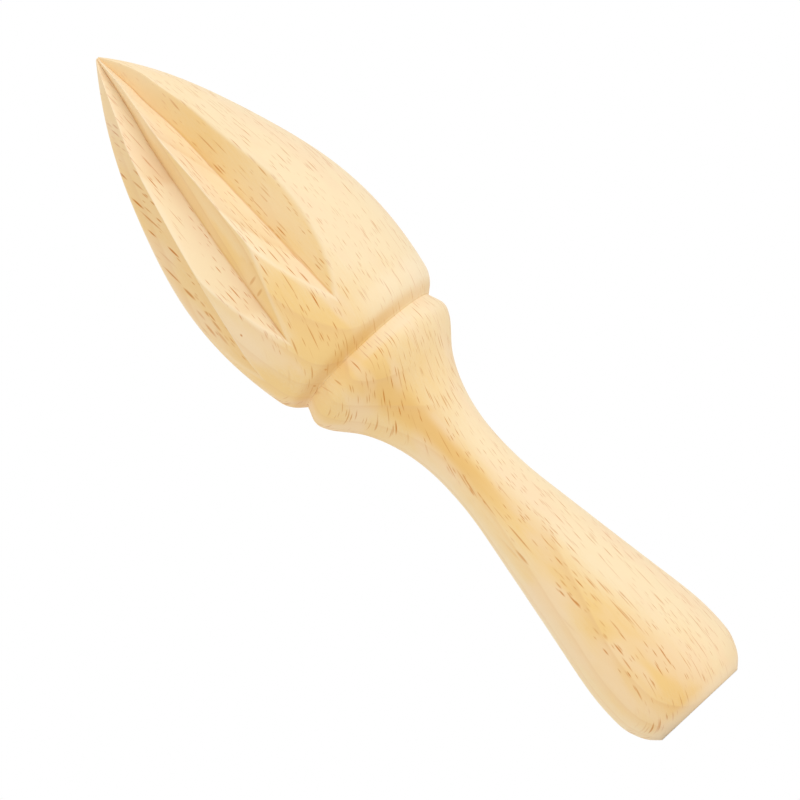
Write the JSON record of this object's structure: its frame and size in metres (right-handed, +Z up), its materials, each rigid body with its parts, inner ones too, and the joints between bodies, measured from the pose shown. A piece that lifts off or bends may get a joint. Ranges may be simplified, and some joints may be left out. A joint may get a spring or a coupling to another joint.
{
  "type": "wooden citrus reamer",
  "caption": "Hand-held citrus reamer: a pointed, fluted turned wooden head glued by a round tenon to a waisted handle with a collar and a flat butt.",
  "frame": {"origin": "centre of the flat butt face, which the reamer stands on", "axes": "+Z up the turning axis from the butt to the tip; the middle flute of one group faces -Y and the middle flute of the other group faces +Y; the plain lands face +X and -X"},
  "size_m": [0.0406, 0.0398, 0.165],
  "materials": {
    "beech": "fine-sanded, unvarnished, matt"
  },
  "bodies": {
    "root": {"reamer_head": "beech", "handle": "beech"}
  },
  "joints": []
}
